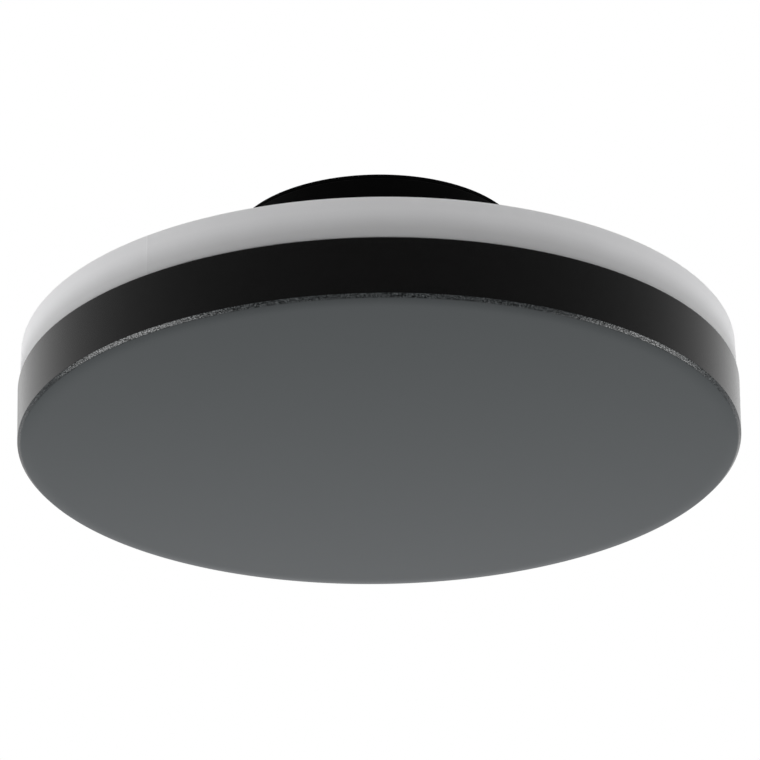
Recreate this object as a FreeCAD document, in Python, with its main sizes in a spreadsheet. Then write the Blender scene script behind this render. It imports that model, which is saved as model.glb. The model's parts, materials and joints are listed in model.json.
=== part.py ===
import FreeCAD
import Part
import Sketcher
import os
import re

# Round outdoor light on a small canopy, for a wall or a porch ceiling.
# Millimetres. The origin is the centre of the mounting face, +Z points into the wall or ceiling,
# and the lamp reaches down to its front face at minus lamp_depth.

SIZES = {
    # Outline
    "lamp_diameter": 260,
    "lamp_depth": 86.6,
    "head_depth": 36.6,
    "cover_height": 21.4,
    "front_chamfer": 1.4,
    "cover_draft": 0.6,
    "diffuser_inset": 0.1,
    "diffuser_round": 0.3,
    "canopy_diameter": 108,
    # Clearances
    "fit_gap": 0.4,
    "joint_gap": 0.3,
    "thread_gap": 0.1,
    "slide_gap": 0.3,
    # Front cover
    "cover_wall": 2.6,
    "cover_front": 3,
    "ledge_width": 3.8,
    "boss_radius": 4.5,
    "boss_circle": 66,
    "boss_count": 6,
    # Diffuser and seals
    "diffuser_wall": 2.5,
    "lip_depth": 5,
    "lip_wall": 2.2,
    "lip_root": 2.8,
    "cover_seal": 2,
    "cover_seal_inset": 0.4,
    "diffuser_seal": 1,
    "diffuser_seal_inset": 2,
    "wall_seal": 1.5,
    # Canopy
    "canopy_wall": 3,
    "canopy_floor": 3,
    "spigot_radius": 40,
    "spigot_wall": 3,
    "post_radius": 4.5,
    "post_count": 4,
    "notch_width": 8,
    "notch_height": 7,
    "set_screw_count": 3,
    "set_screw_depth": 7,
    "set_screw_key": 2,
    "set_screw_key_depth": 1.5,
    # Mounting plate and its grommet
    "plate_sheet": 1.5,
    "plate_flange": 12,
    "recess_depth": 2.5,
    "recess_radius": 19,
    "cable_hole": 7,
    "cable_bore": 4,
    "grommet_collar": 3,
    "grommet_lip": 1.8,
    "grommet_nose": 5,
    "slot_reach": 32,
    "slot_radius": 2.6,
    "slot_length": 14,
    "hole_reach": 36,
    # Carrier plate and LED board
    "carrier_sheet": 2,
    "carrier_drop": 2,
    "carrier_gap": 3,
    "board_bore": 84,
    "board_width": 28,
    "board_sheet": 1.6,
    "board_screw_inset": 4.5,
    "board_screw_count": 6,
    "chip_inset": 17,
    "chip_length": 3.5,
    "chip_width": 2.8,
    "chip_height": 0.7,
    "chip_count": 48,
    "connector_length": 8,
    "connector_width": 6,
    "connector_height": 4,
    "connector_entry": 2.4,
    # Screws
    "large_thread": 2,
    "large_head": 4,
    "large_head_height": 2.5,
    "small_thread": 1.5,
    "small_head": 2.8,
    "small_head_height": 2,
    "recess_length": 2.2,
    "recess_width": 0.7,
    "recess_sink": 1.2,
    "cover_screw_grip": 8,
    "plate_screw_tip": 1,
    # Terminal block
    "block_length": 36,
    "block_width": 20,
    "block_height": 16,
    "block_setback": 14,
    "pole_pitch": 12,
    "channel_width": 3.2,
    "channel_height": 4.2,
    "channel_floor": 3,
    "contact_sheet": 1,
    "contact_inset": 1,
    "button_length": 4,
    "button_width": 3.6,
    "button_sink": 4.5,
    "button_rise": 2.5,
    "button_travel": 1.5,
    "button_shift": 3,
    "block_screw_seat": 8,
    # Driver
    "wiring_gap": 19,
    "driver_length": 54,
    "driver_width": 28,
    "driver_height": 20,
    "driver_wall": 1.5,
    "lid_sheet": 2,
    "lid_rim": 2,
    "ear_reach": 7.5,
    "ear_width": 9,
    "ear_sheet": 2.5,
    "ear_setback": 5,
    "rib_height": 3,
    "rib_width": 3,
    "circuit_sheet": 1.6,
    "transformer_side": 14,
    "transformer_height": 10,
    "capacitor_radius": 4.5,
    "capacitor_height": 10,
    # Leads, earth bond and lead grommet
    "lead_radius": 1.1,
    "lead_insert": 5,
    "led_lead_radius": 0.9,
    "led_lead_spread": 1.3,
    "led_lead_exit": 10,
    "led_lead_bend": 5.5,
    "lead_grommet_x": 20,
    "lead_grommet_setback": 9,
    "lead_hole": 4.2,
    "lead_collar": 1.3,
    "tag_sheet": 0.8,
    "tag_barrel_wall": 0.8,
    "tag_barrel_length": 6,
    "tag_neck": 0.8,
    "earth_boss_radius": 4.5,
    "earth_screw_grip": 4.8,
}

# Places and fits that follow from the sizes above
DERIVED = {
    "cover_radius": "lamp_diameter / 2",
    "face_z": "-lamp_depth",
    "tray_z": "face_z + cover_front",
    "rim_z": "face_z + cover_height",
    "back_z": "face_z + head_depth",
    "shoulder_z": "back_z + diffuser_seal",
    "floor_z": "shoulder_z + canopy_floor",
    "cover_bore": "cover_radius - cover_wall",
    "ledge_bore": "cover_bore - ledge_width",
    "lip_z": "rim_z - lip_depth",
    "ledge_z": "lip_z - cover_seal",
    "lip_radius": "cover_bore - fit_gap",
    "lip_bore": "lip_radius - lip_wall",
    "lip_root_z": "rim_z + lip_root",
    "step_z": "rim_z + joint_gap",
    "diffuser_radius": "cover_radius - diffuser_inset",
    "diffuser_bore": "diffuser_radius - diffuser_wall",
    "diffuser_hole": "spigot_radius + fit_gap",
    "carrier_z": "rim_z - carrier_drop",
    "carrier_under_z": "carrier_z - carrier_sheet",
    "carrier_radius": "ledge_bore - carrier_gap",
    "board_z": "carrier_z + board_sheet",
    "board_radius": "board_bore + board_width",
    "board_screw_circle": "board_bore + board_screw_inset",
    "chip_circle": "board_bore + chip_inset",
    "large_hole": "large_thread + thread_gap",
    "small_hole": "small_thread + thread_gap",
    "canopy_radius": "canopy_diameter / 2",
    "canopy_bore": "canopy_radius - canopy_wall",
    "canopy_top_z": "-wall_seal",
    "spigot_bore": "spigot_radius - spigot_wall",
    "post_circle": "spigot_bore - post_radius / 2",
    "set_screw_z": "-set_screw_depth",
    "plate_radius": "canopy_bore - fit_gap",
    "plate_bore": "plate_radius - plate_sheet",
    "set_screw_tip": "plate_radius + thread_gap",
    "recess_z": "-recess_depth",
    "recess_under_z": "recess_z - plate_sheet",
    "recess_outside": "recess_radius + plate_sheet",
    "grommet_radius": "cable_hole + grommet_collar",
    "plate_screw_reach": "grommet_radius + large_head + fit_gap",
    "block_top_z": "floor_z + block_height",
    "block_near_y": "-block_setback",
    "block_far_y": "block_near_y - block_width",
    "block_y": "block_near_y - block_width / 2",
    "block_screw_x": "pole_pitch / 2",
    "block_screw_z": "floor_z + block_screw_seat",
    "channel_z": "floor_z + channel_floor",
    "contact_width": "channel_width - 2 * thread_gap",
    "lead_z": "channel_z + contact_sheet + lead_radius",
    "button_y": "block_y - button_shift",
    "button_pocket": "button_sink + button_travel + slide_gap",
    "driver_near_y": "block_near_y + wiring_gap",
    "driver_inside_y": "driver_near_y + driver_wall",
    "driver_far_y": "driver_near_y + driver_width",
    "driver_y": "driver_near_y + driver_width / 2",
    "driver_top_z": "floor_z + driver_height",
    "ear_x": "driver_length / 2 + ear_reach / 2",
    "ear_y": "driver_near_y + ear_setback",
    "circuit_z": "floor_z + driver_wall + rib_height",
    "circuit_top_z": "circuit_z + circuit_sheet",
    "circuit_length": "driver_length - 2 * (driver_wall + joint_gap)",
    "circuit_width": "driver_width - 2 * (driver_wall + joint_gap)",
    "transformer_x": "circuit_length / 4",
    "lead_grommet_y": "driver_near_y - lead_grommet_setback",
    "led_exit_z": "floor_z + led_lead_exit",
    "led_run_z": "board_z + connector_entry",
    "connector_near_y": "-board_bore",
    "earth_x": "-pole_pitch",
    "tag_y": "driver_near_y - earth_boss_radius - joint_gap",
    "tag_z": "lead_z - lead_radius - tag_barrel_wall",
    "tag_top_z": "tag_z + tag_sheet",
    "tag_barrel_far_y": "tag_y - large_head - tag_neck",
    "tag_barrel_near_y": "tag_barrel_far_y - tag_barrel_length",
    "tag_barrel_radius": "lead_radius + tag_barrel_wall",
    "earth_screw_z": "tag_top_z - earth_screw_grip",
}

doc = FreeCAD.newDocument("wall_light")
sheet = doc.addObject("Spreadsheet::Sheet", "dims")
for row, (name, number) in enumerate(SIZES.items(), start=1):
    sheet.set(f"A{row}", name)
    sheet.set(f"B{row}", str(number))
    sheet.setAlias(f"B{row}", name)
doc.recompute()


# Expressions, sketches and features

def expand(text):
    """The expression with each derived place spelled out in cells of the sheet."""
    def spell(match):
        word = match.group(0)
        if word in DERIVED:
            return f"({expand(DERIVED[word])})"
        return f"dims.{word}"
    return re.sub(r"\b[a-z][a-z_]+\b(?!\()", spell, text)


def number_of(text):
    return float(sheet.evalExpression(expand(text)))


def bind(item, field, text):
    item.setExpression(field, expand(text))


def origin_of(body, role):
    return next(item for item in body.Origin.OriginFeatures if item.Role == role)


def new_body(label):
    body = doc.addObject("PartDesign::Body", label)
    body.Label = label
    body.AllowCompound = True
    return body


def new_sketch(body, plane="XY_Plane", offset=("0", "0", "0")):
    """A sketch on one of the body's own planes, moved by the offset along the plane's x, y and normal."""
    sketch = body.newObject("Sketcher::SketchObject", f"{body.Label}_sketch")
    sketch.AttachmentSupport = (origin_of(body, plane), [""])
    sketch.MapMode = "FlatFace"
    for field, text in zip(("x", "y", "z"), offset):
        bind(sketch, f"AttachmentOffset.Base.{field}", text)
    return sketch


def pin(sketch, edge, end, across, up):
    """Fix one end or centre of an edge at named distances from the sketch's origin."""
    for text, kind, axis in ((across, "DistanceX", -2), (up, "DistanceY", -1)):
        if text == "0":
            sketch.addConstraint(Sketcher.Constraint("PointOnObject", edge, end, axis))
            continue
        rule = sketch.addConstraint(Sketcher.Constraint(kind, -1, 1, edge, end, number_of(text)))
        bind(sketch, f"Constraints[{rule}]", text)


def arc_between(start, end, radius):
    """A quarter or smaller arc that turns left for a positive radius and right for a negative one."""
    chord = end - start
    side = FreeCAD.Vector(-chord.y, chord.x, 0).normalize()
    rise = (radius ** 2 - (chord.Length / 2) ** 2) ** 0.5
    turn = 1 if radius > 0 else -1
    middle = (start + end) / 2 - side * turn * (abs(radius) - rise)
    return Part.Arc(start, middle, end)


def end_at(sketch, edge, place):
    return min((1, 2), key=lambda end: sketch.getPoint(edge, end).distanceToPoint(place))


def outline(sketch, corners):
    """A closed outline through corners (across, up); a third text is the radius of an arc to the next one."""
    places = [FreeCAD.Vector(number_of(corner[0]), number_of(corner[1]), 0) for corner in corners]
    edges = []
    for index, corner in enumerate(corners):
        start = places[index]
        end = places[(index + 1) % len(corners)]
        if len(corner) == 3:
            edges.append(sketch.addGeometry(arc_between(start, end, number_of(corner[2]))))
        else:
            edges.append(sketch.addGeometry(Part.LineSegment(start, end)))
    for index, corner in enumerate(corners):
        edge = edges[index]
        before = edges[index - 1]
        here = end_at(sketch, edge, places[index])
        there = end_at(sketch, before, places[index])
        sketch.addConstraint(Sketcher.Constraint("Coincident", before, there, edge, here))
        pin(sketch, edge, here, corner[0], corner[1])
        if len(corner) == 3:
            size = abs(number_of(corner[2]))
            rule = sketch.addConstraint(Sketcher.Constraint("Radius", edge, size))
            bind(sketch, f"Constraints[{rule}]", corner[2].lstrip("-"))


def rectangle(sketch, left, right, low, high):
    outline(sketch, [(left, low), (right, low), (right, high), (left, high)])


def circle(sketch, across, up, radius):
    middle = FreeCAD.Vector(number_of(across), number_of(up), 0)
    edge = sketch.addGeometry(Part.Circle(middle, FreeCAD.Vector(0, 0, 1), number_of(radius)))
    pin(sketch, edge, 3, across, up)
    rule = sketch.addConstraint(Sketcher.Constraint("Radius", edge, number_of(radius)))
    bind(sketch, f"Constraints[{rule}]", radius)


def revolve(body, corners, plane="XZ_Plane", offset=("0", "0", "0"), axis="V_Axis"):
    sketch = new_sketch(body, plane, offset)
    outline(sketch, corners)
    feature = body.newObject("PartDesign::Revolution", f"{body.Label}_turned")
    feature.Profile = sketch
    feature.ReferenceAxis = (sketch, [axis])
    feature.Angle = 360
    return feature


def pad(body, sketch, length):
    feature = body.newObject("PartDesign::Pad", f"{body.Label}_pad")
    feature.Profile = sketch
    bind(feature, "Length", length)
    return feature


def pocket(body, sketch, length, along_normal=False):
    """A cut against the sketch's normal, or along it."""
    doc.recompute()
    before = body.Shape.Volume
    feature = body.newObject("PartDesign::Pocket", f"{body.Label}_cut")
    feature.Profile = sketch
    feature.Reversed = along_normal
    bind(feature, "Length", length)
    doc.recompute()
    if body.Shape.Volume >= before:
        raise RuntimeError(f"{feature.Label} removes nothing")
    return feature


def polar(body, features, count):
    """The features repeated round the body's own Z axis."""
    pattern = body.newObject("PartDesign::PolarPattern", f"{body.Label}_round")
    pattern.Originals = features
    pattern.Axis = (origin_of(body, "Z_Axis"), [""])
    pattern.Angle = 360
    bind(pattern, "Occurrences", count)
    body.Tip = pattern
    return pattern


def mirror(body, features, plane="YZ_Plane"):
    """The features repeated across one of the body's own planes."""
    pattern = body.newObject("PartDesign::Mirrored", f"{body.Label}_mirror")
    pattern.Originals = features
    pattern.MirrorPlane = (origin_of(body, plane), [""])
    body.Tip = pattern
    return pattern


def turn(body, angle):
    """Turn the finished body about the lamp's axis."""
    body.Placement = FreeCAD.Placement(FreeCAD.Vector(), FreeCAD.Rotation(FreeCAD.Vector(0, 0, 1), angle))


# The board's screws stand this far round from the cover's, so that they miss the connector
BOARD_TURN = 30
QUARTER_TURN = 90


def ring(label, inner, outer, low, high):
    body = new_body(label)
    revolve(body, [(inner, low), (outer, low), (outer, high), (inner, high)])
    return body


def block(label, left, right, near, far, low, height):
    body = new_body(label)
    sketch = new_sketch(body, offset=("0", "0", low))
    rectangle(sketch, left, right, near, far)
    pad(body, sketch, height)
    return body


def cross(sketch, reach, half):
    """A plus sign, drawn as one outline."""
    quarter = [(reach, half), (half, half), (half, reach)]
    corners = []
    for across, up in ((1, 1), (-1, 1), (-1, -1), (1, -1)):
        signs = {1: "", -1: "-"}
        points = [(signs[across] + x, signs[up] + y) for x, y in quarter]
        corners += points if across == up else points[::-1]
    outline(sketch, corners)


def screw(label, x, y, seat, grip, kind, upside_down=False):
    """A pan head screw whose head stands on the seat; the thread reaches the grip beyond it."""
    body = new_body(label)
    sign = "-" if upside_down else ""
    head, thread = f"{kind}_head", f"{kind}_thread"
    height = f"{sign}{kind}_head_height"
    reach = f"-({grip})" if not upside_down else f"{grip}"
    shank = revolve(
        body,
        [("0", reach), (thread, reach), (thread, "0"), (head, "0"), (head, height), ("0", height)],
        offset=(x, seat, f"-({y})"),
    )
    drive = new_sketch(body, offset=(x, y, f"{seat} + {height}"))
    cross(drive, "recess_length", "recess_width / 2")
    recess = pocket(body, drive, "recess_sink", along_normal=upside_down)
    return body, [shank, recess]


# Pieces that stay on the wall

def make_mounting_plate():
    """Pressed steel dish: a recess for the grommet, and a turned flange that the canopy slides over."""
    body = new_body("mounting_plate")
    revolve(body, [
        ("cable_hole", "recess_z"),
        ("recess_radius", "recess_z"),
        ("recess_radius", "0"),
        ("plate_radius", "0"),
        ("plate_radius", "-plate_flange"),
        ("plate_bore", "-plate_flange"),
        ("plate_bore", "-plate_sheet"),
        ("recess_outside", "-plate_sheet"),
        ("recess_outside", "recess_under_z"),
        ("cable_hole", "recess_under_z"),
    ])
    slots = new_sketch(body)
    half = "(slot_length / 2 - slot_radius)"
    for sign in ("", "-"):
        rectangle(
            slots, f"{sign}slot_reach - {half}", f"{sign}slot_reach + {half}", "-slot_radius", "slot_radius"
        )
    pocket(body, slots, "plate_sheet")
    for side in (f"slot_reach - {half}", f"slot_reach + {half}"):
        ends = new_sketch(body)
        circle(ends, side, "0", "slot_radius")
        circle(ends, f"-({side})", "0", "slot_radius")
        pocket(body, ends, "plate_sheet")
    holes = new_sketch(body)
    circle(holes, "0", "hole_reach", "slot_radius")
    circle(holes, "0", "-hole_reach", "slot_radius")
    pocket(body, holes, "plate_sheet")
    tapped = new_sketch(body, offset=("0", "0", "recess_z"))
    circle(tapped, "0", "plate_screw_reach", "large_hole")
    pocket(body, tapped, "plate_sheet")
    return body


def make_cable_grommet():
    body = new_body("cable_grommet")
    neck = "cable_hole - thread_gap"
    revolve(body, [
        ("cable_bore", "recess_z + grommet_lip"),
        ("cable_bore", "recess_under_z - grommet_lip - grommet_nose"),
        ("(cable_bore + cable_hole) / 2", "recess_under_z - grommet_lip - grommet_nose"),
        ("cable_hole", "recess_under_z - grommet_lip"),
        ("grommet_radius", "recess_under_z - grommet_lip"),
        ("grommet_radius", "recess_under_z"),
        (neck, "recess_under_z"),
        (neck, "recess_z"),
        ("grommet_radius", "recess_z"),
        ("grommet_radius", "recess_z + grommet_lip"),
    ])
    return body


def make_plate_earth_screw():
    body, _ = screw(
        "plate_earth_screw", "0", "plate_screw_reach", "recess_under_z", "plate_sheet + plate_screw_tip",
        "large", upside_down=True,
    )
    return body


# Canopy and its fixings

def make_canopy():
    """Die-cast cup with a spigot that passes through the diffuser to the carrier plate."""
    body = new_body("canopy")
    revolve(body, [
        ("0", "floor_z"),
        ("canopy_bore", "floor_z"),
        ("canopy_bore", "canopy_top_z"),
        ("canopy_radius", "canopy_top_z"),
        ("canopy_radius", "shoulder_z"),
        ("spigot_radius", "shoulder_z"),
        ("spigot_radius", "carrier_z"),
        ("spigot_bore", "carrier_z"),
        ("spigot_bore", "shoulder_z"),
        ("0", "shoulder_z"),
    ])
    posts = new_sketch(body, offset=("0", "0", "carrier_z"))
    circle(posts, "post_circle", "0", "post_radius")
    polar(body, [pad(body, posts, "floor_z - carrier_z - canopy_floor / 2")], "post_count")
    bores = new_sketch(body, offset=("0", "0", "floor_z"))
    circle(bores, "post_circle", "0", "large_hole")
    bore = pocket(body, bores, "floor_z - carrier_z")
    seats = new_sketch(body, offset=("0", "0", "floor_z"))
    circle(seats, "post_circle", "0", "large_head + thread_gap")
    seat = pocket(body, seats, "large_head_height")
    polar(body, [bore, seat], "post_count")
    threads = new_sketch(body, "XZ_Plane", ("0", "set_screw_z", "-plate_radius"))
    circle(threads, "0", "0", "large_hole")
    thread = pocket(body, threads, "canopy_radius - plate_radius")
    polar(body, [thread], "set_screw_count")
    boss = new_sketch(body, offset=("0", "0", "floor_z - canopy_floor / 2"))
    circle(boss, "earth_x", "tag_y", "earth_boss_radius")
    pad(body, boss, "tag_z - floor_z + canopy_floor / 2")
    tapped = new_sketch(body, offset=("0", "0", "tag_z"))
    circle(tapped, "earth_x", "tag_y", "large_hole")
    pocket(body, tapped, "tag_z - earth_screw_z + joint_gap")
    small = new_sketch(body, offset=("0", "0", "floor_z"))
    for sign in ("", "-"):
        circle(small, f"{sign}ear_x", "ear_y", "small_hole")
        circle(small, f"{sign}block_screw_x", "block_y", "small_hole")
    pocket(body, small, "canopy_floor")
    entry = new_sketch(body, offset=("0", "0", "floor_z"))
    circle(entry, "lead_grommet_x", "lead_grommet_y", "lead_hole")
    pocket(body, entry, "canopy_floor")
    notch = new_sketch(body, "XZ_Plane")
    rectangle(
        notch, "lead_grommet_x - notch_width / 2", "lead_grommet_x + notch_width / 2",
        "carrier_z", "carrier_z + notch_height",
    )
    pocket(body, notch, "spigot_radius", along_normal=True)
    return body


def make_canopy_screws():
    body, features = screw(
        "canopy_screws", "post_circle", "0", "floor_z - large_head_height",
        "floor_z - large_head_height - carrier_under_z", "large",
    )
    polar(body, features, "post_count")
    return body


def make_set_screws():
    """Grub screws through the canopy's wall, each with a hexagon socket, that press on the plate's flange."""
    body = new_body("set_screws")
    rods = new_sketch(body, "XZ_Plane", ("0", "set_screw_z", "-canopy_radius"))
    circle(rods, "0", "0", "large_thread")
    rod = pad(body, rods, "canopy_radius - set_screw_tip")
    keys = new_sketch(body, "XZ_Plane", ("0", "set_screw_z", "-canopy_radius"))
    half, slant = "set_screw_key / 2", "set_screw_key / 2 / sqrt(3)"
    outline(keys, [
        ("set_screw_key / sqrt(3)", "0"),
        (slant, half),
        (f"-({slant})", half),
        ("-set_screw_key / sqrt(3)", "0"),
        (f"-({slant})", f"-({half})"),
        (slant, f"-({half})"),
    ])
    key = pocket(body, keys, "set_screw_key_depth", along_normal=True)
    polar(body, [rod, key], "set_screw_count")
    return body


def make_earth_tag():
    """Ring tongue on the earth boss, with a crimped barrel round the lead."""
    body = new_body("earth_tag")
    flat = new_sketch(body, offset=("0", "0", "tag_z"))
    circle(flat, "earth_x", "tag_y", "large_head")
    pad(body, flat, "tag_sheet")
    tongue = new_sketch(body, offset=("0", "0", "tag_z"))
    rectangle(
        tongue, "earth_x - tag_barrel_radius", "earth_x + tag_barrel_radius", "tag_barrel_near_y", "tag_y"
    )
    pad(body, tongue, "tag_sheet")
    barrel = new_sketch(body, "XZ_Plane", ("earth_x", "lead_z", "-tag_barrel_far_y"))
    circle(barrel, "0", "0", "tag_barrel_radius")
    pad(body, barrel, "tag_barrel_length")
    hole = new_sketch(body, offset=("0", "0", "tag_top_z"))
    circle(hole, "earth_x", "tag_y", "large_hole")
    pocket(body, hole, "tag_sheet")
    bore = new_sketch(body, "XZ_Plane", ("earth_x", "lead_z", "-tag_barrel_far_y"))
    circle(bore, "0", "0", "lead_radius + thread_gap / 2")
    pocket(body, bore, "tag_barrel_length", along_normal=True)
    return body


def make_lead_grommet():
    """Rubber grommet in the canopy's floor, with a hole for each LED lead."""
    body = new_body("lead_grommet")
    neck = "lead_hole - thread_gap"
    collar = "lead_hole + lead_collar"
    revolve(body, [
        ("0", "shoulder_z - lead_collar"),
        (collar, "shoulder_z - lead_collar"),
        (collar, "shoulder_z"),
        (neck, "shoulder_z"),
        (neck, "floor_z"),
        (collar, "floor_z"),
        (collar, "floor_z + lead_collar"),
        ("0", "floor_z + lead_collar"),
    ], offset=("lead_grommet_x", "0", "-lead_grommet_y"))
    holes = new_sketch(body, offset=("0", "0", "floor_z + lead_collar"))
    bore = "led_lead_radius + thread_gap"
    for sign in ("-", "+"):
        circle(holes, f"lead_grommet_x {sign} led_lead_spread", "lead_grommet_y", bore)
    pocket(body, holes, "canopy_floor + 2 * lead_collar")
    return body


# Terminal block

POLES = (("live", "1"), ("neutral", "0"), ("earth", "-1"))


def pole_x(step):
    return "0" if step == "0" else f"{step} * pole_pitch"


def make_terminal_block():
    body = block(
        "terminal_block", "-block_length / 2", "block_length / 2", "block_far_y", "block_near_y",
        "floor_z", "block_height",
    )
    channels = new_sketch(body, "XZ_Plane", ("0", "0", "-block_near_y"))
    pockets = new_sketch(body, offset=("0", "0", "block_top_z"))
    wide, deep = "(button_length / 2 + slide_gap)", "(button_width / 2 + slide_gap)"
    for _, step in POLES:
        x = pole_x(step)
        rectangle(
            channels, f"{x} - channel_width / 2", f"{x} + channel_width / 2",
            "channel_z", "channel_z + channel_height",
        )
        rectangle(pockets, f"{x} - {wide}", f"{x} + {wide}", f"button_y - {deep}", f"button_y + {deep}")
    pocket(body, channels, "block_width", along_normal=True)
    pocket(body, pockets, "button_pocket")
    holes = new_sketch(body, offset=("0", "0", "block_top_z"))
    seats = new_sketch(body, offset=("0", "0", "block_top_z"))
    for sign in ("", "-"):
        circle(holes, f"{sign}block_screw_x", "block_y", "small_hole")
        circle(seats, f"{sign}block_screw_x", "block_y", "small_head + thread_gap")
    pocket(body, holes, "block_height")
    pocket(body, seats, "block_height - block_screw_seat")
    return body


def make_terminal_contacts():
    """One copper bar on the floor of each channel."""
    body = new_body("terminal_contacts")
    sketch = new_sketch(body, offset=("0", "0", "channel_z"))
    for _, step in POLES:
        x = pole_x(step)
        rectangle(
            sketch, f"{x} - contact_width / 2", f"{x} + contact_width / 2",
            "block_far_y + contact_inset", "block_near_y - contact_inset",
        )
    pad(body, sketch, "contact_sheet")
    return body


def make_terminal_button(pole, step):
    x = pole_x(step)
    return block(
        f"terminal_button_{pole}", f"{x} - button_length / 2", f"{x} + button_length / 2",
        "button_y - button_width / 2", "button_y + button_width / 2",
        "block_top_z - button_sink", "button_sink + button_rise",
    )


def make_terminal_screws():
    body, features = screw(
        "terminal_screws", "block_screw_x", "block_y", "block_screw_z", "block_screw_z - shoulder_z", "small"
    )
    mirror(body, features)
    return body


# Driver

def make_driver_case():
    body = block(
        "driver_case", "-driver_length / 2", "driver_length / 2", "driver_near_y", "driver_far_y",
        "floor_z", "driver_height",
    )
    ears = new_sketch(body, offset=("0", "0", "floor_z"))
    for near, far in (("-driver_length / 2 - ear_reach", "-driver_length / 2 + driver_wall"),
                      ("driver_length / 2 - driver_wall", "driver_length / 2 + ear_reach")):
        rectangle(ears, near, far, "ear_y - ear_width / 2", "ear_y + ear_width / 2")
    pad(body, ears, "ear_sheet")
    hollow = new_sketch(body, offset=("0", "0", "driver_top_z"))
    rectangle(
        hollow, "-driver_length / 2 + driver_wall", "driver_length / 2 - driver_wall",
        "driver_inside_y", "driver_far_y - driver_wall",
    )
    pocket(body, hollow, "driver_height - driver_wall")
    ribs = new_sketch(body, offset=("0", "0", "floor_z + driver_wall / 2"))
    for sign in ("", "-"):
        rectangle(
            ribs, f"{sign}transformer_x - rib_width / 2", f"{sign}transformer_x + rib_width / 2",
            "driver_near_y + driver_wall / 2", "driver_far_y - driver_wall / 2",
        )
    pad(body, ribs, "driver_wall / 2 + rib_height")
    holes = new_sketch(body, offset=("0", "0", "floor_z + ear_sheet"))
    for sign in ("", "-"):
        circle(holes, f"{sign}ear_x", "ear_y", "small_hole")
    pocket(body, holes, "ear_sheet")
    entries = new_sketch(body, "XZ_Plane", ("0", "0", "-driver_near_y"))
    for _, step in POLES[:2]:
        circle(entries, pole_x(step), "lead_z", "lead_radius + thread_gap")
    bore = "led_lead_radius + thread_gap"
    for sign in ("-", "+"):
        circle(entries, f"lead_grommet_x {sign} led_lead_spread", "led_exit_z", bore)
    pocket(body, entries, "driver_wall")
    return body


def make_driver_lid():
    body = block(
        "driver_lid", "-driver_length / 2", "driver_length / 2", "driver_near_y", "driver_far_y",
        "driver_top_z", "lid_sheet",
    )
    rim = new_sketch(body, offset=("0", "0", "driver_top_z - lid_rim"))
    edge = "driver_wall + joint_gap"
    rectangle(
        rim, f"-driver_length / 2 + {edge}", f"driver_length / 2 - ({edge})",
        f"driver_near_y + {edge}", f"driver_far_y - ({edge})",
    )
    pad(body, rim, "lid_rim + lid_sheet / 2")
    hollow = new_sketch(body, offset=("0", "0", "driver_top_z - lid_rim"))
    edge = "2 * driver_wall + joint_gap"
    rectangle(
        hollow, f"-driver_length / 2 + {edge}", f"driver_length / 2 - ({edge})",
        f"driver_near_y + {edge}", f"driver_far_y - ({edge})",
    )
    pocket(body, hollow, "lid_rim", along_normal=True)
    return body


def make_driver_screws():
    body, features = screw(
        "driver_screws", "ear_x", "ear_y", "floor_z + ear_sheet", "ear_sheet + canopy_floor", "small"
    )
    mirror(body, features)
    return body


def make_driver_board():
    return block(
        "driver_board", "-circuit_length / 2", "circuit_length / 2",
        "driver_y - circuit_width / 2", "driver_y + circuit_width / 2", "circuit_z", "circuit_sheet",
    )


def make_driver_transformer():
    return block(
        "driver_transformer", "transformer_x - transformer_side / 2", "transformer_x + transformer_side / 2",
        "driver_y - transformer_side / 2", "driver_y + transformer_side / 2",
        "circuit_top_z", "transformer_height",
    )


def make_driver_capacitor():
    can = doc.addObject("Part::Cylinder", "driver_capacitor")
    bind(can, "Radius", "capacitor_radius")
    bind(can, "Height", "capacitor_height")
    bind(can, "Placement.Base.x", "-transformer_x")
    bind(can, "Placement.Base.y", "driver_y")
    bind(can, "Placement.Base.z", "circuit_top_z")
    return can


# Leads

# A swept tube is sound when its volume is this close to its section times its path
TUBE_TOLERANCE = 0.001


def make_straight_lead(label, step, far_y):
    """A lead along Y from inside the terminal block's channel to far_y."""
    lead = doc.addObject("Part::Cylinder", label)
    lead.Placement.Rotation = FreeCAD.Rotation(FreeCAD.Vector(1, 0, 0), -QUARTER_TURN)
    bind(lead, "Radius", "lead_radius")
    bind(lead, "Height", f"{far_y} - block_near_y + lead_insert")
    bind(lead, "Placement.Base.x", pole_x(step))
    bind(lead, "Placement.Base.y", "block_near_y - lead_insert")
    bind(lead, "Placement.Base.z", "lead_z")
    return lead


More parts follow.
